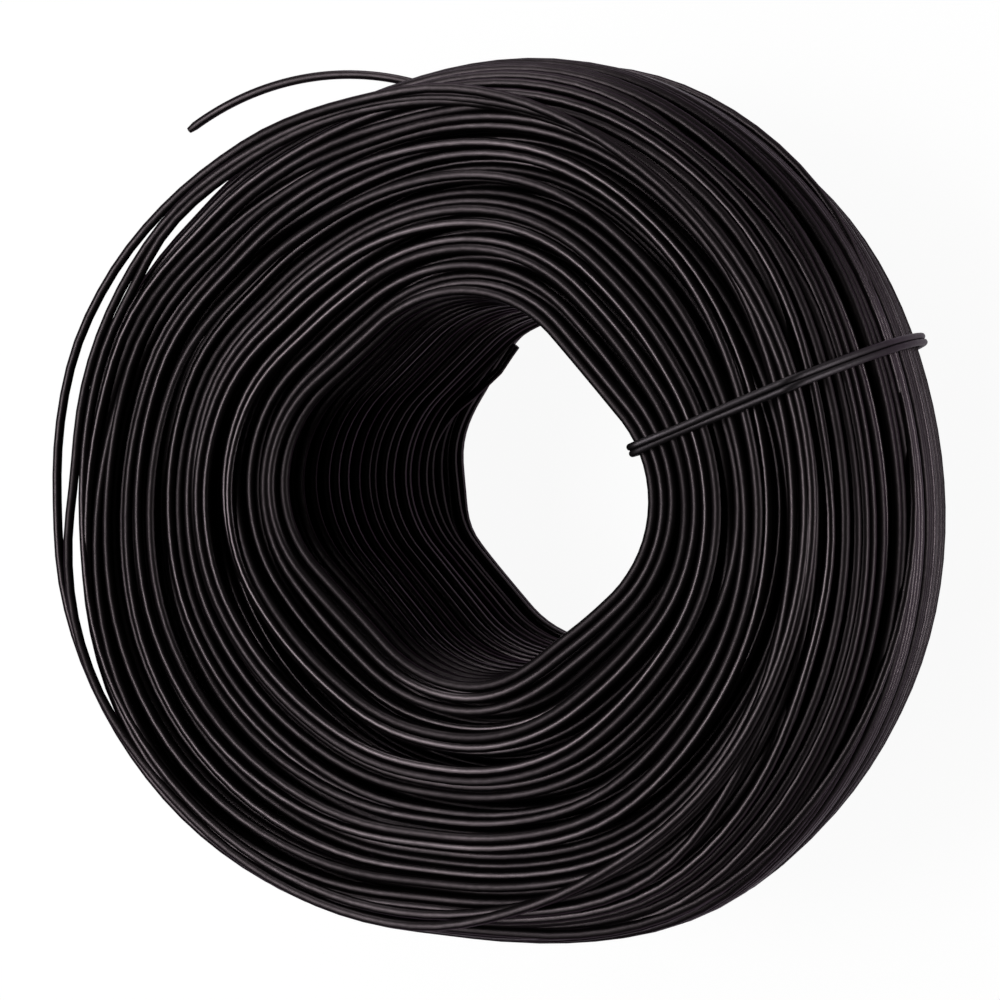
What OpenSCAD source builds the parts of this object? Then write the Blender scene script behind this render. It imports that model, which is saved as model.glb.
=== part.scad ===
// Coil of tie wire: a ring of wound wire with a rounded square hole, held by one binding tie.
// The coil lies on one of its ends, with its axis upright along Z.
// The origin is the bottom centre of the whole part.

/* [Wire] */
// Diameter of the wound wire
wire_d = 1.5; // [1.3:0.05:1.6]
// Diameter of the wire of the binding tie
tie_d = 1.6; // [1.3:0.05:1.8]

/* [Winding] */
// Width of the winding along its axis, over the outermost turns
coil_w = 66; // [62:1:80]
// Radius of the rim at the middle of its width
rim_r = 71.5; // [70:0.5:76]
// Radius of the rim where it meets the two ends
edge_r = 62; // [61:0.5:66]
// How far the rim's centre lies to the left of the hole's centre
rim_left = 6.5; // [0:0.5:7]
// How far the rim's centre lies below the hole's centre
rim_down = 3; // [0:0.5:4]

/* [Hole] */
// Clear width of the hole between its flats
hole_w = 50; // [46:1:52]
// Clear height of the hole between its flats
hole_h = 52.5; // [48:0.5:54]
// Corner radius of the hole
hole_r = 18.5; // [16:0.5:20]
// Turn of the hole about the axis of the coil
hole_turn = 42.5; // [35:0.5:50]

/* [Turns] */
// Turns that show on each end
end_turns = 14; // [6:1:14]
// Turns that show along the wall of the hole
bore_turns = 22; // [6:1:22]
// Turns that show across the rim
rim_turns = 23; // [9:2:25]

/* [Loose wire] */
// How far the loose turn's centre lies to the left of the rim's centre
loose_left = 11.5; // [11:0.5:12]
// Radius of the loose turn
loose_r = 56; // [56:0.5:57]
// How far the loose turn lies above the middle of the winding
loose_up = 28; // [26:0.5:29]
// Tilt of the loose turn from the coil's ends
loose_tilt = 3; // [2:0.5:5]
// Angle that the loose turn spans
loose_sweep = 100; // [96:1:104]
// Direction in which the free end leaves the rim
free_from = 99; // [90:1:105]
// Angle at which the free end lifts off the rim
free_lift = 35; // [25:1:40]
// Bend radius of the free end
free_bend = 54; // [50:1:60]
// Angle through which the free end bends
free_sweep = 58; // [50:1:64]
// How far the free end lies below the middle of the winding
free_down = 6; // [0:1:12]

/* [Binding tie] */
// Direction in which the tie crosses the winding
tie_turn = 22; // [15:1:30]
// How far the tie passes to one side of the axis of the coil, halfway up
tie_aside = 1.6; // [0:0.2:3]
// Lean of the tie across the width, as sideways over upwards
tie_lean = 0.075; // [0:0.025:0.1]
// Length of the twisted tail of the tie
tail_len = 12; // [8:1:16]
// Length along which the tail's strands make one full twist
tail_pitch = 6; // [5:0.5:8]

/* [Hidden] */
wire_sides = 8;
core_half = coil_w / 2 - wire_d / 2;
rim_mid = rim_r - wire_d / 2;
rim_edge = edge_r - wire_d / 2;
rim_bulge = 3.5;
rim_centre = [-rim_left, -rim_down];
bore_r = hole_r + wire_d / 2;
flat_x = hole_w / 2 - hole_r;
flat_y = hole_h / 2 - hole_r;

// Thickness of a layer below its outermost turn, and depth of the grooves between the turns
layer_w = 0.74 * wire_d;
rim_groove = wire_d;
end_groove = 2;
bore_groove = 0.5;
// How far a layer reaches into the body
seat = 0.3;
end_half = core_half - end_groove;
bore_reach = end_half - 0.4 * wire_d;

tie_gap = 0.15;
tie_clear = (wire_d + tie_d) / 2 + tie_gap;
tie_bend = 2;
tail_half = 0.95 * tie_d;
tail_drop = core_half + tie_clear + tie_d / 2 - tail_half;
tail_off = sqrt(pow(wire_d / 2 + tail_half + tie_gap, 2) - pow(tail_drop - core_half, 2));
hole_corner = [flat_x * cos(hole_turn) + flat_y * sin(hole_turn),
               flat_x * sin(hole_turn) - flat_y * cos(hole_turn)];

// Radius of the rim's outermost wire centres, at a place from -1 to 1 across the width
function rim_at(place) = rim_mid - (rim_mid - rim_edge) * pow(abs(place), rim_bulge);

// Centre of the wire of one rim turn, as radius and height
function rim_point(i) =
    let (place = 2 * i / (rim_turns - 1) - 1) [rim_at(place), place * core_half];

function unit(v) = v / norm(v);
function heading(turn) = [cos(turn), sin(turn)];

// Rounded to a hundredth, so that the arcs and straights of a turn meet exactly
function snap(v) = round(100 * v) / 100;

// Where a line in direction turn, shifted sideways, leaves a circle
function line_out(turn, shift, centre, radius) =
    let (along = heading(turn), across = heading(turn + 90))
    centre * along + sqrt(radius * radius - pow(centre * across - shift, 2));

// Ring of points round a wire at one point of its route, square to the direction of travel
function ring(at, travel, up, d) =
    let (side = unit(cross(travel, up)), top = cross(side, unit(travel)))
    [for (k = [0:wire_sides - 1]) let (a = 360 * k / wire_sides)
        at + d / 2 * (cos(a) * side + sin(a) * top)];

// Wire swept along a route. up is any direction that the route never takes.
module swept_wire(route, up, d, closed = false) {
    n = len(route);
    rings = [for (i = [0:n - 1])
        let (before = closed ? (i + n - 1) % n : max(i - 1, 0),
             after = closed ? (i + 1) % n : min(i + 1, n - 1))
        each ring(route[i], route[after] - route[before], up, d)];
    sides = [for (i = [0:n - (closed ? 1 : 2)], k = [0:wire_sides - 1])
        let (j = (i + 1) % n, m = (k + 1) % wire_sides)
        [i * wire_sides + k, i * wire_sides + m, j * wire_sides + m, j * wire_sides + k]];
    caps = closed ? [] : [
        [for (k = [wire_sides - 1:-1:0]) k],
        [for (k = [0:wire_sides - 1]) (n - 1) * wire_sides + k]];
    polyhedron(points = rings, faces = concat(sides, caps), convexity = 8);
}

// Section of a turn: the wire, with the edge of its layer below or above it where depth isn't 0
module turn_section(depth) {
    circle(d = wire_d, $fn = 16);
    if (depth != 0)
        translate([-layer_w / 2, min(0, depth)]) square([layer_w, abs(depth)]);
}

// One turn as a closed loop: a rounded rectangle by the hole that becomes round further out
module turn_loop(out, height, depth = 0) {
    r = snap(bore_r + (rim_edge - bore_r) * out);
    x = snap(flat_x * (1 - out));
    y = snap(flat_y * (1 - out));
    translate([rim_centre.x * out, rim_centre.y * out, height])
    rotate(hole_turn) {
        for (corner = [[x, y, 0], [-x, y, 90], [-x, -y, 180], [x, -y, 270]])
            translate([corner.x, corner.y, 0]) rotate(corner[2])
            rotate_extrude(angle = 90, $fn = 96) translate([r, 0]) turn_section(depth);
        for (side = [-1, 1]) {
            translate([-x, side * (r + y), 0]) rotate([90, 0, 90])
            linear_extrude(2 * x) turn_section(depth);
            translate([side * (r + x), y, 0]) rotate([90, 0, 0])
            linear_extrude(2 * y) turn_section(depth);
        }
    }
}

// Outline of the hole behind the turns of the innermost layer
module bore_outline() {
    r = bore_r + bore_groove;
    square([2 * (flat_x + r), 2 * flat_y], center = true);
    square([2 * flat_x, 2 * (flat_y + r)], center = true);
    for (x = [-flat_x, flat_x], y = [-flat_y, flat_y])
        translate([x, y]) circle(r = r, $fn = 96);
}

// Section of the wound ring: its body, and the rim turns with the edges of their layers
module ring_section() {
    corner = rim_edge + wire_d / 2;
    polygon(concat([[0, -end_half], [corner, -end_half]],
                   [for (i = [1:rim_turns - 2]) rim_point(i) - [rim_groove, 0]],
                   [[corner, end_half], [0, end_half]]));
    for (i = [0:rim_turns - 1]) translate(rim_point(i)) circle(d = wire_d, $fn = 16);
    for (i = [1:rim_turns - 2])
        translate(rim_point(i) - [rim_groove + seat, layer_w / 2]) square([rim_groove + seat, layer_w]);
    for (low = [-core_half, end_half - seat])
        translate([rim_edge - layer_w / 2, low]) square([layer_w, end_groove + seat]);
}

// The wound ring: turned outside with its rim turns, with the rounded square hole through it
module winding() {
    difference() {
        translate(rim_centre) rotate_extrude($fn = 144) ring_section();
        translate([0, 0, -coil_w]) linear_extrude(2 * coil_w) rotate(hole_turn) bore_outline();
    }
    for (i = [0:end_turns - 1], side = [-1, 1])
        turn_loop((i + 0.5) / (end_turns + 0.5), side * core_half, -side * (end_groove + seat));
    for (i = [0:bore_turns - 1])
        turn_loop(0, bore_reach * (2 * i / (bore_turns - 1) - 1));
}

// Loose outer turn that stands clear of the rim at the left
module loose_turn() {
    translate([rim_centre.x - loose_left, rim_centre.y, loose_up])
    rotate([loose_tilt, 0, 0]) rotate(180 - loose_sweep / 2)
    rotate_extrude(angle = loose_sweep, $fn = 144) translate([loose_r, 0]) circle(d = wire_d, $fn = 16);
}

// Centre of the arc that the free end follows, away from the rim and round to the left
function free_centre() =
    rim_centre + (rim_mid - wire_d / 2) * heading(free_from) - free_bend * heading(free_from - free_lift);

// Free end of the wire
module free_end() {
    translate([free_centre().x, free_centre().y, -free_down]) rotate(free_from - free_lift)
    rotate_extrude(angle = free_sweep, $fn = 144) translate([free_bend, 0]) circle(d = wire_d, $fn = 16);
}

// The whole wire: the wound ring, its loose turn and its free end
module wire_coil() {
    color([0.13, 0.12, 0.13]) lying() {
        winding();
        loose_turn();
        free_end();
    }
}

// Lays the coil on its lower end, with the origin under the middle of its box
module lying() {
    rim_low = rim_centre.y - rim_r;
    free_high = free_centre().y + free_bend + wire_d / 2;
    translate([-rim_centre.x, -(rim_low + free_high) / 2, core_half + tie_clear + tie_d / 2]) children();
}

// Slope of the rim's outline at a place across the width
function rim_slope(place) =
    -sign(place) * rim_bulge * (rim_mid - rim_edge) / core_half * pow(abs(place), rim_bulge - 1);

// Sideways place of the leaning tie at a height
function aside(height) = -tie_aside - tie_lean * height;

// Point over the rim, clear of the turns, as distance out and height
function over_rim(place) =
    [line_out(tie_turn, aside(place * core_half), rim_centre, rim_at(place)), place * core_half]
    + tie_clear * unit([1, -rim_slope(place)]);

// Route of the tie from the hole across one end, as distance out and height
function across_end(end) =
    let (face = core_half + tie_clear,
         inner = line_out(tie_turn, aside(end * face), hole_corner, hole_r) - tie_d / 2 - tie_gap,
         outer = line_out(tie_turn, aside(end * face), rim_centre, rim_edge))
    concat([for (a = [180:-22.5:90])
               [inner + tie_bend * (1 + cos(a)), end * (face - tie_bend * (1 - sin(a)))]],
           [for (k = [1:4]) [inner + tie_bend + (outer - inner - tie_bend) * k / 5, end * face]]);

// Closed route of the tie round the winding's section, as distance out and height
function tie_route() =
    let (lower = across_end(-1))
    concat(across_end(1), [for (k = [0:24]) over_rim(1 - k / 12)],
           [for (k = [len(lower) - 1:-1:0]) lower[k]]);

// The tie: a closed loop of wire round the winding. Its two ends are twisted into a tail,
// which is folded down along the lower edge of the rim.
module binding_tie() {
    start = aside(-tail_drop);
    tail = line_out(tie_turn, start, rim_centre, rim_edge) + tail_off;
    color([0.2, 0.19, 0.2]) lying() rotate(tie_turn) {
        swept_wire([for (p = tie_route()) [p.x, aside(p.y), p.y]], [0, 1, 0], tie_d, closed = true);
        translate([tail, start + tie_d / 2, -tail_drop]) rotate([90, 0, 0])
        linear_extrude(tail_len, twist = 360 * tail_len / tail_pitch, slices = 48)
        for (side = [-1, 1]) translate([0, side * (tail_half - tie_d / 2)]) circle(d = tie_d, $fn = 12);
    }
}

wire_coil();
binding_tie();
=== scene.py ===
# %% [markdown]
# # A coil of black tie wire
# A coil of tie wire is one long soft steel wire, wound in layers on a rounded square block. The
# block is then taken out, and a thinner wire tied round the ring keeps it together. The black
# colour is the scale that grows on the steel while it is annealed.
#
# What makes such a coil look real is its winding: hundreds of turns that run side by side, cross
# each other at a small angle and leave dark gaps. A bump map can't show that, because the eye sees
# between the turns. So here every turn is a real tube, and its route is worked out the way the
# winding machine lays it.

# %% Load the frame
import math

import bmesh
import bpy
import numpy as np
from mathutils import Matrix, Vector


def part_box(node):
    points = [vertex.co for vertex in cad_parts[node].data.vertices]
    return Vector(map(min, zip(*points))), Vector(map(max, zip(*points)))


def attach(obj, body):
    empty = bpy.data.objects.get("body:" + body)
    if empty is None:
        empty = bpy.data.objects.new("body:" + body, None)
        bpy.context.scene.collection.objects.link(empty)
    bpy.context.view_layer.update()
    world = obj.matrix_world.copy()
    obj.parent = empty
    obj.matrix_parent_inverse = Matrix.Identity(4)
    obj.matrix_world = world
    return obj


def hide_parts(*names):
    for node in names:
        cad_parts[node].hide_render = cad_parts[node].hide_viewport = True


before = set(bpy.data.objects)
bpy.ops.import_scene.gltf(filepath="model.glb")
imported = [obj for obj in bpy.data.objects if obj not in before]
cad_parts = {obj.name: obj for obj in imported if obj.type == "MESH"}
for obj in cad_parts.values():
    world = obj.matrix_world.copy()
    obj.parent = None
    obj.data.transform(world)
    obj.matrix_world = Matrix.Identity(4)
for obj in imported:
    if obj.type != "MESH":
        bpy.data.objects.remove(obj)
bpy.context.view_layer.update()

MM = 0.001

# %% [markdown]
# ## The sizes that drive everything
# The coil's width and the radius of its rim come from the frame, so the looks follow the
# construction. The wire's diameter and the rim's shift from the hole are stated here. All routes
# are worked out in millimetres round the middle of the hole, and are moved to their real place at
# the end. A radius or a half width goes to the middle of a wire, so half a wire is taken off.

# %% Measure the coil
WIRE = 1.5
RIM_LEFT, RIM_DOWN = 6.5, 3.0

coil_low, coil_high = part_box("wire_coil")
rim_radius = (coil_high.x - coil_low.x) / 2 / MM - WIRE / 2
half_width = (coil_high.z - coil_low.z) / 2 / MM - WIRE / 2
middle = Vector(((coil_low.x + coil_high.x) / 2 / MM + RIM_LEFT,
                 coil_low.y / MM + rim_radius + WIRE / 2 + RIM_DOWN,
                 (coil_low.z + coil_high.z) / 2 / MM))
rim_centre = np.array([-RIM_LEFT, -RIM_DOWN])
print("rim radius", round(rim_radius, 2), "half width", round(half_width, 2), "middle", middle)

# %% [markdown]
# ## The camera
# The camera is made first. It looks down on the coil's upper end from the right, so that the wall
# of the hole and the turns on the right of the rim both show. Its upper edge is turned towards the
# free end of the wire with a plain matrix of three directions, because a camera that looks almost
# straight down has no natural upright. Its lens, place and target are the result of a camera solve
# that was done outside this file.

# %% Place the camera
LENS = 68.92
EYE = Vector((109.1, 8.2, 295.8))
TARGET = Vector((-7.22, -2.5, 0.0))


def aimed(place, target):
    """Matrix of a camera or lamp at a place, aimed at a target, with its upper edge towards +Y."""
    back = (place - target).normalized()
    right = Vector((0, 1, 0)).cross(back).normalized()
    upward = back.cross(right)
    return Matrix.Translation(place) @ Matrix((right, upward, back)).transposed().to_4x4()


camera_data = bpy.data.cameras.new("camera")
camera_data.lens = LENS
camera_data.clip_start = 0.01
camera = bpy.data.objects.new("camera", camera_data)
bpy.context.scene.collection.objects.link(camera)
bpy.context.scene.camera = camera
camera.matrix_world = aimed((EYE + middle) * MM, (TARGET + middle) * MM)
print("camera at", [round(v, 4) for v in camera.location], "m")

# %% [markdown]
# ## The outline of the hole
# The innermost turns lie on the rounded square block. Its outline is handled as a distance out
# from the middle of the hole for each direction, because then two outlines can be blended with
# one line of arithmetic. Seen from the middle, a direction meets either a flat side of the block
# or one of its round corners, and np.where picks the right one for many directions at once.

# %% Outline of the hole
HOLE_FLAT_X, HOLE_FLAT_Y = 6.5, 7.75
HOLE_CORNER = 18.5
HOLE_TURN = math.radians(42.5)
TINY = 1e-6


def bore_out(angle):
    """Distance out to the wire centres of the innermost layer."""
    across, along = np.cos(angle - HOLE_TURN), np.sin(angle - HOLE_TURN)
    radius = HOLE_CORNER + WIRE / 2
    corner_x, corner_y = HOLE_FLAT_X * np.sign(across), HOLE_FLAT_Y * np.sign(along)
    facing = corner_x * across + corner_y * along
    corner = facing + np.sqrt(radius**2 - HOLE_FLAT_X**2 - HOLE_FLAT_Y**2 + facing**2)
    side_x = (HOLE_FLAT_X + radius) / np.maximum(np.abs(across), TINY)
    side_y = (HOLE_FLAT_Y + radius) / np.maximum(np.abs(along), TINY)
    on_side_x = np.abs(side_x * along) <= HOLE_FLAT_Y
    on_side_y = np.abs(side_y * across) <= HOLE_FLAT_X
    return np.where(on_side_x, side_x, np.where(on_side_y, side_y, corner))


quarters = np.radians([0, 90, 180, 270])
print("hole, distance out at the quarters:", bore_out(quarters).round(1))

# %% [markdown]
# ## Where the outlines lean
# A real coil is never quite true, and a perfect one looks like a drawing. A lean moves an outline
# out or in around one direction, as a soft hump. Here the wall of the hole leans out near the
# lower end, where the wire starts, and in beside it. Near the upper end the turns have crept out
# on the left.

# %% Lean the wall of the hole
LEAN_FROM = 0.6
LOWER_LEANS = ((120, 22, 3.8), (168, 28, -1.25), (183, 14, -1.7))
UPPER_LEANS = ((183, 38, 2.0), (10, 60, -0.4), (-65, 16, -1.0))


def leaning(angle, leans):
    """How far an outline leans out. Each lean has a direction, a width in degrees and an amount."""
    out = np.zeros(np.shape(angle))
    for peak, wide, amount in leans:
        off = (np.degrees(angle) - peak + 180) % 360 - 180
        out = out + amount * np.exp(-(off / wide) ** 2)
    return out


def bore_wall(angle, place):
    """Distance out to the innermost wire centres at a place from -1 to 1 across the width."""
    low = np.clip((-place - LEAN_FROM) / (1 - LEAN_FROM), 0, 1)
    high = np.clip((place - LEAN_FROM) / (1 - LEAN_FROM), 0, 1)
    return bore_out(angle) + low * leaning(angle, LOWER_LEANS) + high * leaning(angle, UPPER_LEANS)


print("hole at the lower end:", bore_wall(quarters, -1 + 0 * quarters).round(1))

# %% [markdown]
# ## The outline of the rim
# The outermost turns lie on a rim that is nearly round and shifted to the left and a little down.
# Its radius falls off towards both ends, because the outer layers slip inwards there. Four
# cosines round the rim give it slow bulges, and leans give it the short ones. On the right the
# upper edge has slumped, so that it is rounder there than elsewhere. The leans are listed one by
# one. RIM_SHARE and the bulges are the result of a least-squares fit to the outline of a
# real coil, which was done outside this file.

# %% Outline of the rim
RIM_SHARE = 0.9965
EDGE_DROP = 9.5
EDGE_POWER = 3.5
# Each bulge has the number of times it comes round, its share of the radius and its direction
RIM_BULGES = ((1, 0.0155, -57), (2, 0.0129, 42), (3, 0.0177, -46), (4, 0.0142, -39))
RIM_LEANS = ((-92, 9, -0.6), (-60, 14, 1.25), (-33, 18, -0.8), (4, 18, 0.6), (52, 16, -0.9),
             (82, 16, 0.35), (133, 7, -0.5), (152, 9, 0.6), (168, 42, -1.0), (184, 14, -0.4))
SLUMPS = ((0, 65, 3.2),)
SLUMP_POWER = 1.6


def slump(angle, place):
    """How far the turns have slumped inwards."""
    return leaning(angle, SLUMPS) * np.clip(place, 0, 1) ** SLUMP_POWER


def rim_at(angle, place):
    """Radius of the rim round its own centre, at a place from -1 to 1 across the width."""
    share = RIM_SHARE
    for count, amount, peak in RIM_BULGES:
        share = share + amount * np.cos(count * (angle - math.radians(peak)))
    edge = EDGE_DROP * np.abs(place) ** EDGE_POWER + slump(angle, place)
    return rim_radius * share + leaning(angle, RIM_LEANS) - edge


def rim_out(angle, place):
    """Distance out to the outermost wire centres, from the middle of the hole."""
    facing = rim_centre[0] * np.cos(angle) + rim_centre[1] * np.sin(angle)
    out = facing + rim_radius
    for again in range(2):
        own_angle = np.arctan2(out * np.sin(angle) - rim_centre[1], out * np.cos(angle) - rim_centre[0])
        out = facing + np.sqrt(rim_at(own_angle, place)**2 - rim_centre @ rim_centre + facing**2)
    return out


print("rim, distance out at the quarters:", rim_out(quarters, 0 * quarters).round(1))

# %% [markdown]
# ## Smooth and wandering numbers
# A tidy spiral would look like a spring, so everything about the wire also wanders: slowly, by a
# few tenths of a millimetre, and in the same way on every run, because the random numbers are
# seeded. A wander is a row of random values, one every so many turns, joined by straight lines
# and then smoothed. Noise in a material can colour a wire but not move its turns, so the wander is
# worked out on the route itself.

# %% Helpers for smooth and wandering numbers
STEPS = 96
SEED = 16
rng = np.random.default_rng(SEED)


def smooth(values, length):
    """Running average with a soft window of that many steps, with the ends held."""
    window = np.hanning(length + 2)[1:-1]
    window /= window.sum()
    padded = np.concatenate([np.full(length, values[0]), values, np.full(length, values[-1])])
    return np.convolve(padded, window, mode="same")[length:-length]


def wander(steps, amount, turns):
    """Slow random wander along a wire, which changes over about that many turns."""
    knots = np.arange(0, steps + turns * STEPS, turns * STEPS)
    values = np.interp(np.arange(steps), knots, rng.normal(0, amount, len(knots)))
    return smooth(values, int(turns * STEPS))


print(STEPS, "steps in a turn")

# %% [markdown]
# ## How a winding machine lays the wire
# The block turns while a guide carries the wire from one end to the other and back. Each trip of
# the guide makes one layer. The guide starts inside the width, goes down to the lower end, and
# then to and fro. At an end the wire stays for about a turn while it climbs onto the layer below,
# and those turns are the ones that show on the coil's ends. So two numbers say where the wire is:
# its place across the width, from -1 to 1, and its layer.

# %% Lay the wire, layer by layer
LAYERS = 17
TURNS_DOWN = 4
FIRST_TURNS = 19
LAYER_TURNS = 21
RIM_TURNS, RIM_LAYERS = 33, 2
START_PLACE = -0.62
START_DIRECTION = 117
OVER_START = 0.7

turns_in = [TURNS_DOWN, FIRST_TURNS]
turns_in += [LAYER_TURNS] * (LAYERS - 1 - RIM_LAYERS) + [RIM_TURNS] * RIM_LAYERS
ends = [START_PLACE] + [-1 if i % 2 == 0 else 1 for i in range(LAYERS + 1)]
place, layer = [], []
for i, turns in enumerate(turns_in):
    place.append(np.linspace(ends[i], ends[i + 1], turns * STEPS, endpoint=False))
    layer.append(np.full(turns * STEPS, max(0.0, i - 1)))
place = np.concatenate(place)
layer = np.concatenate(layer)
# On its way back up, the wire lies over the first turns until it has passed their start
back_up = slice(TURNS_DOWN * STEPS, (TURNS_DOWN + FIRST_TURNS) * STEPS)
layer[back_up] = np.where(place[back_up] < START_PLACE, OVER_START, 0)
steps = len(place)
turn_count = steps // STEPS
direction = np.arange(steps) * 2 * np.pi / STEPS + math.radians(START_DIRECTION)
print(turn_count, "turns,", steps, "points")

# %% Let it dwell at the ends, and shift whole layers
DWELL = 1.06
LAYER_SLIP = 0.35

place = smooth(np.clip(place * DWELL, -1, 1), STEPS // 2)
layer_shift = rng.uniform(-LAYER_SLIP, LAYER_SLIP, LAYERS)
layer_shift[[0, -1]] = 0
shift = np.interp(layer, np.arange(LAYERS), layer_shift)
depth = smooth(layer + shift, STEPS) / (LAYERS - 1)
print("layers lie in or out by", layer_shift.round(2), "of a layer")

# %% [markdown]
# ## From place and layer to a route
# The height of a turn is its place across the width. Its distance out is a blend of the two
# outlines: none of the rim in the first layer, and all of it in the last. Both wander, and the
# first layers wander less, because they lie on the block. The inner end of the wire is sprung a
# little way into the hole over the first seventh of a turn.

# %% Give the turns their wander
# Each wander has an amount, and the number of turns over which it changes
SLOW_WANDER = (1.3, 0.8)
QUICK_WANDER = (0.4, 0.2)
DEPTH_WANDER = (0.017, 0.7)
CALM, CALM_LAYERS = 0.4, 2
END_ROOM = 0.7

calm = np.interp(layer, (0, CALM_LAYERS), (CALM, 1))
height = place * (half_width - END_ROOM)
height = height + calm * (wander(steps, *SLOW_WANDER) + wander(steps, *QUICK_WANDER))
height = np.clip(height, -half_width, half_width)
spread = np.clip(depth + calm * wander(steps, *DEPTH_WANDER), 0, 1)
out = ((1 - spread) * bore_wall(direction, height / half_width)
       + spread * rim_out(direction, height / half_width))

# Direction in degrees, and how far in the wire is sprung there
SPRUNG = ((117, 1.3), (128, 2.3), (144, 1.9), (160, 0.6), (168, 0.0))
sprung = np.interp(np.degrees(direction), *np.transpose(SPRUNG))
out = out - sprung
print("the wire runs", out.min().round(1), "to", out.max().round(1), "mm out")

# %% [markdown]
# ## Let the turns settle
# Wires can't pass through each other. So the turns are pushed apart, as the real ones push each
# other apart: at each of the directions round the ring, the section shows one dot for each turn,
# and two dots closer than the wire is thick move away from each other. The moves are smoothed
# along the wire, because a steel wire can't make a sharp kink. After a few dozen rounds the turns
# lie beside and across each other with hardly any overlap. A physics simulation could also part
# them. This way needs only arithmetic on the routes, and gives the same result on every run.

# %% Find the turns that come near each other
REACH = 2.2 * WIRE
LOOK_EVERY = 4


def close_pairs(out, height):
    """Pairs of turns that come near each other somewhere round the ring."""
    near = np.zeros((turn_count, turn_count), bool)
    for step in range(0, STEPS, LOOK_EVERY):
        gap_out = out[:, None, step] - out[None, :, step]
        gap_up = height[:, None, step] - height[None, :, step]
        near |= gap_out**2 + gap_up**2 < REACH**2
    return np.argwhere(np.triu(near, 1)).T


# %% Push the turns apart
ROUNDS = 40
STIFF_STEPS = STEPS // 8
OVERLAP_COUNTED = 0.15


def settle(out, height):
    """Moves overlapping turns apart and keeps them between the block, the rim and the two ends."""
    out, height = out.reshape(-1, STEPS), height.reshape(-1, STEPS)
    angle = direction.reshape(-1, STEPS)
    inward = sprung.reshape(-1, STEPS)
    first, second = close_pairs(out, height)
    for again in range(ROUNDS):
        gap_out = out[second] - out[first]
        gap_up = height[second] - height[first]
        gap = np.sqrt(gap_out**2 + gap_up**2) + TINY
        push = 0.5 * np.clip(WIRE - gap, 0, None) / gap
        move_out, move_up = np.zeros_like(out), np.zeros_like(height)
        for side, sign in ((first, -1), (second, 1)):
            np.add.at(move_out, side, sign * push * gap_out)
            np.add.at(move_up, side, sign * push * gap_up)
        out = out + smooth(move_out.ravel(), STIFF_STEPS).reshape(out.shape)
        height = height + smooth(move_up.ravel(), STIFF_STEPS).reshape(out.shape)
        height = np.clip(height, -half_width, half_width)
        place = height / half_width
        out = np.clip(out, bore_wall(angle, place) - inward, rim_out(angle, place))
    deepest = (WIRE - gap).max()
    share = (gap < WIRE - OVERLAP_COUNTED).mean()
    print(len(first), "pairs, deepest overlap", round(deepest, 2), "mm, share", round(share, 4))
    return out.ravel(), height.ravel()


out, height = settle(out, height)

# %% [markdown]
# ## From a route to a wire
# A curve with a round bevel is the simplest true wire: it keeps its diameter in every bend and its
# ends are capped. The curve is then made a mesh, so that its place is in its points and the shape
# can be exported. At a cut end the last point is made smaller, which rounds the tip. Each point
# also gets a number for its gloss, which wanders along the wire and which the steel reads later.

# %% Points of a route
def route_points(direction, out, height):
    """Points in millimetres round the middle of the hole, from directions, distances and heights."""
    return np.column_stack([out * np.cos(direction), out * np.sin(direction),
                            np.broadcast_to(height, np.shape(direction))])


# %% Make tubes from routes
SIDES = 8
ROUND_SIDES = 16
TIP = 0.72
GLOSS_SLOW = (0.4, 0.8)
GLOSS_QUICK = (0.2, 0.1)


def bevelled_curve(name, points, thickness, sides, closed, tips):
    """A curve object with a round section. Its corners stand out a little, so that its section is
    as large as a round one."""
    even = math.sqrt(2 * math.pi / sides / math.sin(2 * math.pi / sides))
    data = bpy.data.curves.new(name, "CURVE")
    data.dimensions = "3D"
    data.bevel_depth = thickness / 2 * even * MM
    data.bevel_resolution = sides // 2 - 2
    data.use_fill_caps = True
    spline = data.splines.new("POLY")
    spline.points.add(len(points) - 1)
    placed = (np.asarray(points) + np.array(middle)) * MM
    spline.points.foreach_set("co", np.column_stack([placed, np.ones(len(placed))]).ravel())
    spline.use_cyclic_u = closed
    for end, rounded in zip((0, -1), tips):
        if rounded:
            spline.points[end].radius = TIP
    curve = bpy.data.objects.new(name + "_route", data)
    bpy.context.scene.collection.objects.link(curve)
    bpy.context.view_layer.update()
    return curve


def tube(name, points, thickness, sides=SIDES, closed=False, tips=(False, False), gloss_and_painted_light=0.0):
    """A wire along the points, as a mesh object at the origin. The last argument raises or lowers its
    gloss, and with it paints the colour lighter or darker.
    """
    curve = bevelled_curve(name, points, thickness, sides, closed, tips)
    mesh = bpy.data.meshes.new_from_object(curve.evaluated_get(bpy.context.evaluated_depsgraph_get()))
    bpy.data.objects.remove(curve)
    mesh.name = name
    gloss = 0.5 + gloss_and_painted_light + wander(len(points), *GLOSS_SLOW) + wander(len(points), *GLOSS_QUICK)
    gloss = np.clip(gloss, 0, 1)
    if not closed:
        gloss = np.concatenate([gloss[-1:], gloss[:1], gloss])  # the two caps come first
    mesh.attributes.new("gloss", "FLOAT", "POINT").data.foreach_set("value", np.repeat(gloss, sides))
    mesh.polygons.foreach_set("use_smooth", [True] * len(mesh.polygons))
    mesh.update()
    wire = bpy.data.objects.new(name, mesh)
    bpy.context.scene.collection.objects.link(wire)
    print(name, len(mesh.vertices), "points", len(mesh.polygons), "faces")
    return wire


# %% [markdown]
# ## The winding
# The winding is one wire, but one mesh of it would have more triangles than a piece may have. It
# is cut between layers. Neighbouring pieces share the point at the cut, so the wire goes on without
# a gap. The last layer stops near the tie, where the loose turns take over.

# %% Cut the winding into pieces and make them
PIECE_LAYERS = (0, 5, 10, 14, LAYERS)
LOOSE_FROM = 20 - 360
HELD = steps - round((START_DIRECTION - LOOSE_FROM) / 360 * STEPS)

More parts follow.
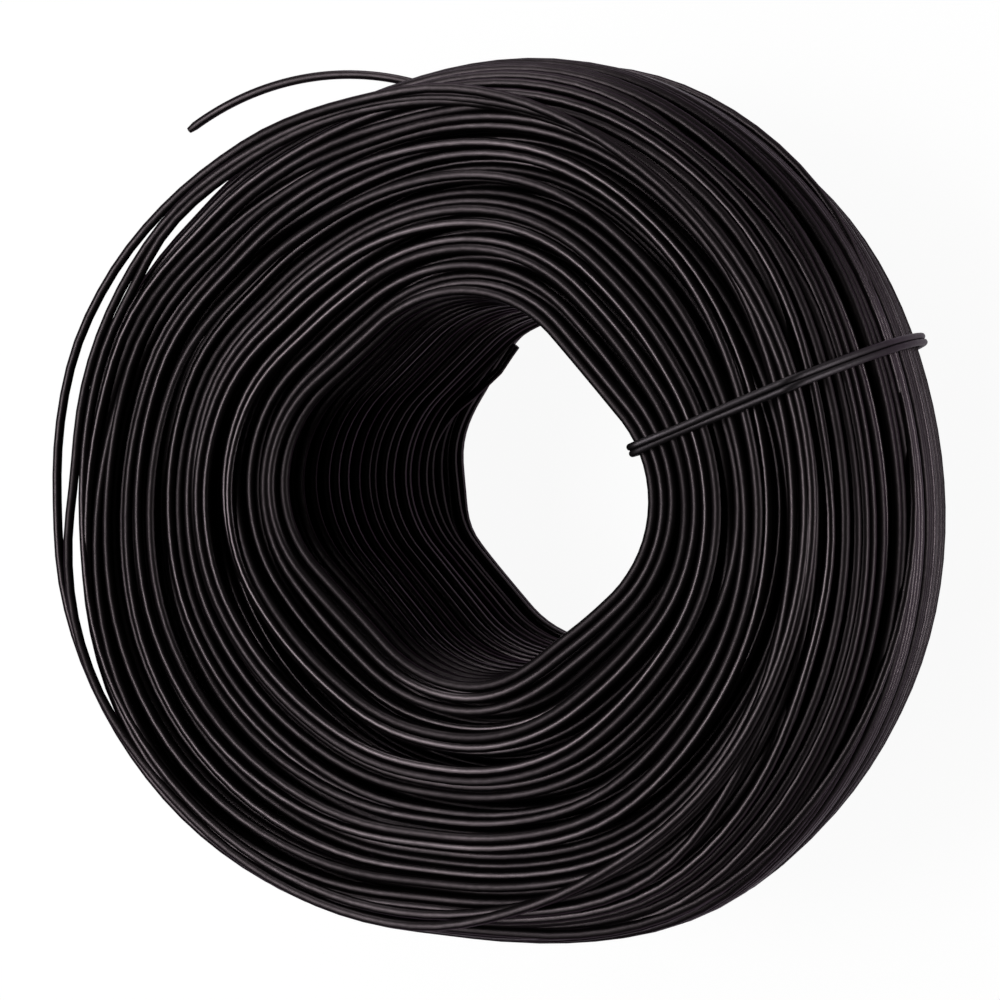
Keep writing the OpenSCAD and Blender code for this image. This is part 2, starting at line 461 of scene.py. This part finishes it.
route = route_points(direction, out, height)[:HELD]
starts = np.concatenate([[0], np.cumsum(turns_in)]) * STEPS
winding = []
for first, last in zip(PIECE_LAYERS[:-1], PIECE_LAYERS[1:]):
    part = route[starts[first + (first > 0)]:starts[last + 1] + 1]
    winding.append(tube(f"layers_{first + 1}_to_{last}", part, WIRE))

# %% [markdown]
# ## The last turns and the free end
# The last turns aren't held by others. Two of them have slipped over the upper edge of the rim and
# stand clear of it at the left. The wire then crosses the rim down to the middle of its width. A
# loose wire follows no rule, so its route is a list of places set one by one, and a smooth curve
# through them does the rest. Low on the rim, a wire that the list puts inside the turns below is
# moved out onto them, and under the tie it may lie a little deeper.

# %% A smooth curve through places
def through(knots, count):
    """Smooth curve through rows of numbers. The first number of each row must rise."""
    knots = np.array(knots, float)
    spread = np.linspace(knots[0, 0], knots[-1, 0], count)
    rows = [np.interp(spread, knots[:, 0], column) for column in knots[:, 1:].T]
    window = max(3, count // (2 * len(knots)))
    return np.radians(spread), [smooth(row, window) for row in rows]


def rim_points(direction, out, height):
    """Points from directions and distances round the rim's centre."""
    return route_points(direction, out, height) + np.append(rim_centre, 0)


# %% The places of the loose turns
FREE_FROM = 99
FREE_DOWN = 6.0

# Direction in degrees and distance out, both round the rim's centre, and height
LOOSE_TURNS = (
    (-290, 61.6, 31.0), (-262, 61.8, 31.0), (-244, 62.2, 31.0), (-236, 62.4, 31.0), (-228, 63.2, 31.0),
    (-221, 63.2, 31.0), (-215, 62.2, 31.0), (-204, 62.4, 31.0), (-196, 61.9, 31.0), (-184, 61.4, 31.0),
    (-175, 61.4, 31.0), (-168, 62.0, 31.0), (-160, 62.8, 31.0), (-150, 63.2, 31.0), (-130, 63.0, 31.2),
    (-80, 61.6, 31.8), (-20, 61.4, 31.8), (50, 62.2, 31.8), (80, 62.0, 31.4), (100, 62.6, 31.0),
    (116, 63.0, 31.0), (128, 63.9, 31.0), (134, 64.3, 31.0), (141, 64.2, 31.0), (148, 64.1, 31.0),
    (156, 64.0, 31.0), (165, 63.7, 31.0), (172, 63.1, 31.0), (178, 63.2, 31.0), (182, 64.1, 31.0),
    (186, 64.8, 31.0), (191, 65.4, 31.0), (196, 66.0, 31.0), (203, 66.2, 31.0), (209, 66.2, 31.0),
    (216, 65.5, 31.0), (226, 64.7, 31.2), (250, 64.2, 31.6), (270, 63.6, 32.6), (283, 61.8, 33.2),
    (300, 60.6, 33.4), (330, 60.8, 33.2), (365, 60.8, 31.8), (398, 60.8, 31.9), (417, 61.4, 33.3),
    (439, 63.0, 33.6), (449, 63.4, 33.4), (459, 62.8, 33.2), (469, 63.6, 32.2), (476, 64.6, 31.0),
    (483, 65.2, 30.2), (494, 66.3, 30.0), (505, 67.4, 30.0), (518, 68.2, 30.0), (530, 67.6, 30.0),
    (541, 66.9, 30.0), (550, 67.4, 30.0), (560, 67.2, 30.0), (570, 66.8, 30.0), (590, 66.0, 30.0),
    (610, 65.0, 29.5), (630, 64.2, 28.4), (660, 67.0, 24.0), (720, 69.0, 14.0), (780, 70.0, 2.0),
    (360 * 2 + FREE_FROM, 70.0, -FREE_DOWN))
print(len(LOOSE_TURNS), "places")

# %% Lay the loose turns
REST = 1.1
# The wire rests fully below the height RESTS_AT, and not at all from RESTS_OVER above it
RESTS_AT, RESTS_OVER = 26, 3
TIE_TURN = math.radians(22)
DIP_WIDE, DIP_MORE = 14, 0.2


def loose_route(start):
    """The loose turns, from the point at which the winding ends."""
    first_out = np.hypot(start[0] - rim_centre[0], start[1] - rim_centre[1])
    first_angle = math.degrees(math.atan2(start[1] - rim_centre[1], start[0] - rim_centre[0]))
    first_angle -= 360 * math.ceil((first_angle - LOOSE_TURNS[0][0]) / 360)
    first_out += slump(math.radians(first_angle), start[2] / half_width)
    knots = ((first_angle, first_out, start[2]),) + LOOSE_TURNS
    count = int((knots[-1][0] - knots[0][0]) / 360 * STEPS)
    angle, (out, height) = through(knots, count)
    out = out - slump(angle, height / half_width)
    under_tie = leaning(angle, ((math.degrees(TIE_TURN), DIP_WIDE, REST + DIP_MORE),))
    resting = smooth(np.maximum(out, rim_at(angle, height / half_width) + REST - under_tie), 5)
    share = np.clip((RESTS_AT + RESTS_OVER - height) / RESTS_OVER, 0, 1)
    return rim_points(angle, out + share * (resting - out), height)


loose = loose_route(route[-1])
print("the loose turns start", (route[-1] - loose[0]).round(2), "mm off the winding")

# %% [markdown]
# ## The free end
# The wire's end has sprung off the rim. A wire that was wound keeps a bend, only a wider one than
# the coil's, so the free length is an arc. It leaves the rim at a small angle and bends away to
# the left. It is joined to the loose turns and made with twice the sides, because it is seen alone
# against the floor.

# %% Bend the free end and make the last turns
FREE_BEND = 54.0
FREE_SWEEP = 58
FREE_LIFT = 35.6
FREE_IN = 1.1 * WIRE
FREE_POINTS = 40


def free_route():
    """Arc that leaves the rim and bends away to the left."""
    first = math.radians(FREE_FROM - FREE_LIFT)
    start = rim_points(np.array([math.radians(FREE_FROM)]), rim_radius - FREE_IN, -FREE_DOWN)[0]
    centre = start - FREE_BEND * np.array([math.cos(first), math.sin(first), 0])
    arc = first + np.radians(np.linspace(0, FREE_SWEEP, FREE_POINTS))
    return centre + route_points(arc, FREE_BEND, 0 * arc)


# A few points are left out where the two meet, so that the joint is smooth
last_route = np.concatenate([loose[:-4], free_route()[2:]])
last_turns = tube("last_turns", last_route, WIRE, ROUND_SIDES, tips=(False, True))

# %% [markdown]
# ## The binding tie
# The tie is a thinner wire that goes round the ring twice and is drawn tight. It lies straight
# across the upper end, bends sharply into the hole, and comes back under the lower end and over
# the rim. Each round lies in an upright plane that leans a little, so its route is drawn flat, as
# distance and height, and is then put into that plane. TIE is the thickness that the construction
# leaves for the tie, and the thinner strands keep to its outer side.

# %% The plane of the tie
TIE = 1.6
STRAND = 1.05
TIE_ASIDE = 1.6
TIE_LEAN = 0.075
across = np.array([math.cos(TIE_TURN), math.sin(TIE_TURN)])
aside = np.array([math.sin(TIE_TURN), -math.cos(TIE_TURN)])


def in_tie_plane(out, height, side=0.0):
    """Points in the tie's leaning plane, from a distance along it and a height."""
    beside = TIE_ASIDE + TIE_LEAN * np.asarray(height) + side
    flat = np.outer(out, across) + np.outer(beside, aside)
    return np.column_stack([flat, np.broadcast_to(height, np.shape(out))])


def out_along(height, reach):
    """Distance along the tie's plane, at a height, at which an outline with that reach is met."""
    line = np.linspace(0, 90, 1801)
    flat = in_tie_plane(line, np.full(len(line), height))
    angle, far = np.arctan2(flat[:, 1], flat[:, 0]), np.hypot(flat[:, 0], flat[:, 1])
    return line[np.argmax(far >= reach(angle))]


print("the tie meets the hole", out_along(half_width, bore_out).round(1), "mm out")

# %% Route the tie once round the ring
TIE_GAP = 0.13
TIE_CLEAR = (WIRE + TIE) / 2 + TIE_GAP
TIE_BEND = 2.0
BEND_POINTS, FACE_POINTS, OVER_POINTS = 7, 20, 41
STRAND_OUT = (TIE - STRAND) / 2
UPPER_SLACK = 0.5
strand_clear = TIE_CLEAR + STRAND_OUT


def across_end(end, top):
    """The bend out of the hole and the straight run across one end."""
    inner = out_along(end * top, bore_out) - WIRE / 2 - TIE / 2 - TIE_GAP - STRAND_OUT
    corner = np.radians(np.linspace(180, 90, BEND_POINTS))
    bend_out = inner + TIE_BEND * (1 + np.cos(corner))
    bend_up = top - TIE_BEND * (1 - np.sin(corner))
    outer = out_along(end * half_width, lambda angle: rim_out(angle, 1.0))
    run = np.linspace(bend_out[-1], outer + strand_clear / 2, FACE_POINTS + 2)[1:-1]
    return np.append(bend_out, run), end * np.append(bend_up, np.full(FACE_POINTS, top))


def tie_loop():
    """Distances along the tie's plane and heights, once round the ring, and the rim's lower edge."""
    upper_out, upper_up = across_end(1, half_width + strand_clear - UPPER_SLACK)
    lower_out, lower_up = across_end(-1, half_width + strand_clear)
    place = np.linspace(1, -1, OVER_POINTS)
    rim = np.array([out_along(p * half_width, lambda angle: rim_out(angle, p)) for p in place])
    slope = np.gradient(rim, place * half_width)
    steep = np.sqrt(1 + slope**2)
    over_out = rim + strand_clear / steep
    over_up = place * half_width - strand_clear * slope / steep
    outs = np.concatenate([upper_out, over_out, lower_out[::-1]])
    ups = np.concatenate([upper_up, over_up, lower_up[::-1]])
    return outs, ups, rim[-1]


loop_out, loop_up, rim_foot = tie_loop()
print("the tie reaches", loop_out.min().round(1), "to", loop_out.max().round(1), "mm out")

# %% [markdown]
# ## Two rounds, one partly on the other
# The two rounds lie side by side, and in the middle of the upper end one lies partly on the other.
# Both are the same loop, moved half a strand to either side. Where they overlap, the pair is
# turned about the loop's line, which lifts one over the other and keeps the distance between their
# middles as it is. That distance is a little under one strand, so they are pressed together. The
# lifted round is glossier and lighter, and the other rougher and darker: partly a real difference
# in gloss, partly painted shade for the round that lies beneath.

# %% Make the two rounds
APART = 0.96 * STRAND
OVERLAP_AT, OVERLAP_WIDE = 34.5, 9.0
OVERLAP_TURN = math.radians(48)
OVERLAP_DROP = 0.26
overlap = np.exp(-((loop_out - OVERLAP_AT) / OVERLAP_WIDE) ** 2) * (loop_up > half_width)


def tie_round(sign):
    """Points of one of the two rounds."""
    lean = OVERLAP_TURN * overlap
    beside = sign * APART / 2 * np.cos(lean)
    above = APART * np.sin(lean) * (sign < 0) - OVERLAP_DROP * overlap
    return in_tie_plane(loop_out, loop_up + above, beside)


# The third number lightens the round on top and darkens the one beneath it: partly gloss, partly
# painted shade
tie_rounds = [tube(f"tie_round_{name}", tie_round(sign), STRAND, ROUND_SIDES, closed=True, gloss_and_painted_light=gloss_and_painted_light)
              for name, sign, gloss_and_painted_light in (("a", -1, 0.4), ("b", 1, -0.3))]

# %% [markdown]
# ## The twisted tail
# The two ends of the tie are twisted together at the lower edge of the rim and folded aside along
# it. Each strand is a helix, half a turn behind the other. A Screw modifier could wind them too. A
# sine and a cosine are used because they put the points in the tie's leaning plane at once.

# %% Twist the tail
TAIL_LENGTH = 11.5
TAIL_PITCH = 6.0
TAIL_HALF = STRAND
TAIL_POINTS = 45
TAIL_UP = TAIL_HALF - half_width - TIE_CLEAR - TIE / 2
TAIL_OFF = math.sqrt((WIRE / 2 + TAIL_HALF + TIE_GAP) ** 2 - (TAIL_UP + half_width) ** 2)


def tail_strand(phase):
    """One of the two ends, as it winds round the other."""
    along = np.linspace(0, TAIL_LENGTH, TAIL_POINTS)
    spin = 2 * np.pi * along / TAIL_PITCH + phase
    apart = TAIL_HALF - STRAND / 2
    outs = rim_foot + TAIL_OFF + apart * np.cos(spin)
    points = in_tie_plane(outs, np.full(TAIL_POINTS, TAIL_UP), along)
    points[:, 2] += apart * np.sin(spin)
    return points


tails = [tube(f"tie_tail_{name}", tail_strand(phase), STRAND, ROUND_SIDES, tips=(False, True))
         for name, phase in (("a", 0.0), ("b", math.pi))]

# %% [markdown]
# ## Shader maths
# A material is a tree of nodes, and sums written as nodes are hard to read. A small class wraps an
# output socket, so that a sum of sockets can be written as Python writes it, and each sum adds its
# own Math node. Every other node comes from one function.

# %% Shader helper
class Socket:
    """An output socket that takes part in sums. Each sum adds its own Math node."""

    def __init__(self, tree, output):
        self.tree = tree
        self.output = output

    def math(self, operation, *others):
        return node(self.tree, "ShaderNodeMath", {"operation": operation},
                    dict(enumerate((self,) + others)))

    def __add__(self, other):
        return self.math("ADD", other)

    def __mul__(self, other):
        return self.math("MULTIPLY", other)

    def __sub__(self, other):
        return self.math("SUBTRACT", other)

    def __rsub__(self, other):
        return self * -1 + other

    __radd__ = __add__
    __rmul__ = __mul__


def node(tree, kind, settings=None, inputs=None, output=0):
    """Adds a node: first its settings, then the values or links of its sockets."""
    made = tree.nodes.new(kind)
    for name, value in (settings or {}).items():
        setattr(made, name, value)
    for name, value in (inputs or {}).items():
        if isinstance(value, Socket):
            tree.links.new(value.output, made.inputs[name])
        else:
            made.inputs[name].default_value = value
    return Socket(tree, made.outputs[output]) if len(made.outputs) else made


def empty_material(name):
    """A new material and its tree, with no nodes."""
    material = bpy.data.materials.new(name)
    material.use_nodes = True
    material.node_tree.nodes.clear()
    return material, material.node_tree


# %% [markdown]
# ## The steel's black scale
# Annealed wire is nearly black, with a thin hard oxide that is smooth enough to give each wire one
# sharp line of light. The colour drifts between two warm blacks, the gloss changes along the wire,
# and fine pits roughen the scale. The pits and the drift come from noise on Object coordinates, so
# no piece needs an unwrapped surface, and the change along the wire is the number at its points.
# A Mix node has sockets for every kind of data, so its colours go by number: 6 and 7, and 2 out.

# %% Black annealed steel
DRIFT_SCALE, FLAKE_SCALE, PIT_SCALE = 90, 900, 3500
DRIFT_SHARE, FLAKE_SHARE, GLOSS_SHARE = 0.3, 0.3, 0.4
AMOUNT_LOW, AMOUNT_HIGH = 0.25, 0.75
GLOSS_GAIN = 0.22
FLAKE_RELIEF, PIT_RELIEF = 0.7, 0.3
BUMP_STRENGTH, BUMP_DEPTH = 0.4, 0.00004
EDGE_TINT = (0.5, 0.46, 0.5, 1)


def annealed_steel(name, dark, light, rough):
    """Black scale that varies between two colours, and is smoother where it is lighter."""
    material, tree = empty_material(name)
    place = node(tree, "ShaderNodeTexCoord", output="Object")
    drift, flakes, pits = [
        node(tree, "ShaderNodeTexNoise", inputs={"Vector": place, "Scale": size, "Detail": detail})
        for size, detail in ((DRIFT_SCALE, 3), (FLAKE_SCALE, 4), (PIT_SCALE, 2))]
    gloss = node(tree, "ShaderNodeAttribute", {"attribute_name": "gloss"}, output="Fac")
    amount = node(tree, "ShaderNodeMapRange", inputs={
        "Value": drift * DRIFT_SHARE + flakes * FLAKE_SHARE + gloss * GLOSS_SHARE,
        "From Min": AMOUNT_LOW, "From Max": AMOUNT_HIGH})
    colour = node(tree, "ShaderNodeMix", {"data_type": "RGBA"},
                  {0: amount, 6: (*dark, 1), 7: (*light, 1)}, output=2)
    bump = node(tree, "ShaderNodeBump", inputs={
        "Strength": BUMP_STRENGTH, "Distance": BUMP_DEPTH,
        "Height": flakes * FLAKE_RELIEF + pits * PIT_RELIEF})
    steel = node(tree, "ShaderNodeBsdfPrincipled", inputs={
        "Base Color": colour, "Roughness": rough - amount * GLOSS_GAIN, "Normal": bump,
        "Metallic": 1.0, "Specular Tint": EDGE_TINT})
    node(tree, "ShaderNodeOutputMaterial", inputs={"Surface": steel})
    print(name, len(tree.nodes), "nodes")
    return material


WIRE_DARK, WIRE_LIGHT, WIRE_ROUGH = (0.015, 0.0125, 0.0135), (0.03, 0.025, 0.027), 0.505
TIE_DARK, TIE_LIGHT, TIE_ROUGH = (0.02, 0.0175, 0.019), (0.036, 0.032, 0.035), 0.6
wire_steel = annealed_steel("annealed_wire", WIRE_DARK, WIRE_LIGHT, WIRE_ROUGH)
tie_steel = annealed_steel("tie_wire", TIE_DARK, TIE_LIGHT, TIE_ROUGH)

# %% [markdown]
# ## Dress the pieces
# Each piece gets its steel, rides on the one body that there is, and stands for the solid that it
# replaces. Its slot names the finish that the record gives it.

# %% Ride, replace and dress the pieces
for piece in winding + [last_turns]:
    piece.data.materials.append(wire_steel)
    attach(piece, "root")
    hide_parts("wire_coil")
for piece in tie_rounds + tails:
    piece.data.materials.append(tie_steel)
    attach(piece, "root")
    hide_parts("binding_tie")
print(len(winding) + 1, "pieces of the coil and", len(tie_rounds) + len(tails), "of the tie")

# %% [markdown]
# ## The floor
# The coil lies on a plain pale floor. It looks nearly white to the camera and in gloss, and still
# takes the coil's shadow. More light could whiten it too, but that light would also fall on the
# coil. So the floor's material asks which kind of ray has met it.

# %% Lay the floor
FLOOR_SIZE = 3.0
FLOOR_PAINT = (0.85, 0.85, 0.85, 1)
FLOOR_GLOW = 0.94


def pale_floor():
    """Pale paint that is nearly white to camera, glossy and transmitted rays."""
    material, tree = empty_material("floor")
    camera_ray, glossy_ray, through_ray = [
        node(tree, "ShaderNodeLightPath", output=f"Is {kind} Ray")
        for kind in ("Camera", "Glossy", "Transmission")]
    paint = node(tree, "ShaderNodeBsdfDiffuse", inputs={"Color": FLOOR_PAINT})
    glow = node(tree, "ShaderNodeEmission", inputs={"Color": (1, 1, 1, 1), "Strength": 1.0})
    share = camera_ray.math("MAXIMUM", glossy_ray).math("MAXIMUM", through_ray) * FLOOR_GLOW
    mixed = node(tree, "ShaderNodeMixShader", inputs={0: share, 1: paint, 2: glow})
    node(tree, "ShaderNodeOutputMaterial", inputs={"Surface": mixed})
    return material


ground = bmesh.new()
bmesh.ops.create_grid(ground, x_segments=1, y_segments=1, size=FLOOR_SIZE / 2)
floor_mesh = bpy.data.meshes.new("floor")
ground.to_mesh(floor_mesh)
ground.free()
floor = bpy.data.objects.new("floor", floor_mesh)
bpy.context.scene.collection.objects.link(floor)
floor.data.materials.append(pale_floor())
print("floor", FLOOR_SIZE, "m wide")

# %% [markdown]
# ## The light
# A round black wire shows mostly as the lines in which it mirrors a lamp, so the lamps draw the
# coil. A long soft lamp above the left side gives each turn one line of light, and a small one at
# the same place makes the lines near its direction stronger. A low narrow lamp on the right
# lights the rim, and another at the far side lights the upper edge and the free end. They are
# low, so that the wall of the hole stays dark.

# %% Hang the lamps
# Name, place in metres, width, length and power in watts
LAMPS = (("strip_lamp", (-0.38, 0.0, 0.95), 0.3, 1.8, 12.0),
         ("key_lamp", (-0.38, 0.03, 0.95), 0.22, 0.3, 3.8),
         ("right_lamp", (1.10, 0.0, 0.13), 0.1, 1.2, 11.0),
         ("far_lamp", (-0.25, 1.05, 0.22), 0.5, 0.3, 4.8))
WORLD_LIGHT = 0.03

for name, spot, wide, long, power in LAMPS:
    lamp_data = bpy.data.lights.new(name, "AREA")
    lamp_data.shape = "RECTANGLE"
    lamp_data.size = wide
    lamp_data.size_y = long
    lamp_data.energy = power
    lamp = bpy.data.objects.new(name, lamp_data)
    lamp.matrix_world = aimed(Vector(spot), Vector())
    bpy.context.scene.collection.objects.link(lamp)
    print(name, power, "W")

world = bpy.data.worlds.new("world")
bpy.context.scene.world = world
world.use_nodes = True
background = world.node_tree.nodes["Background"]
background.inputs["Color"].default_value = (1, 1, 1, 1)
background.inputs["Strength"].default_value = WORLD_LIGHT
bpy.context.scene.view_settings.view_transform = "Standard"
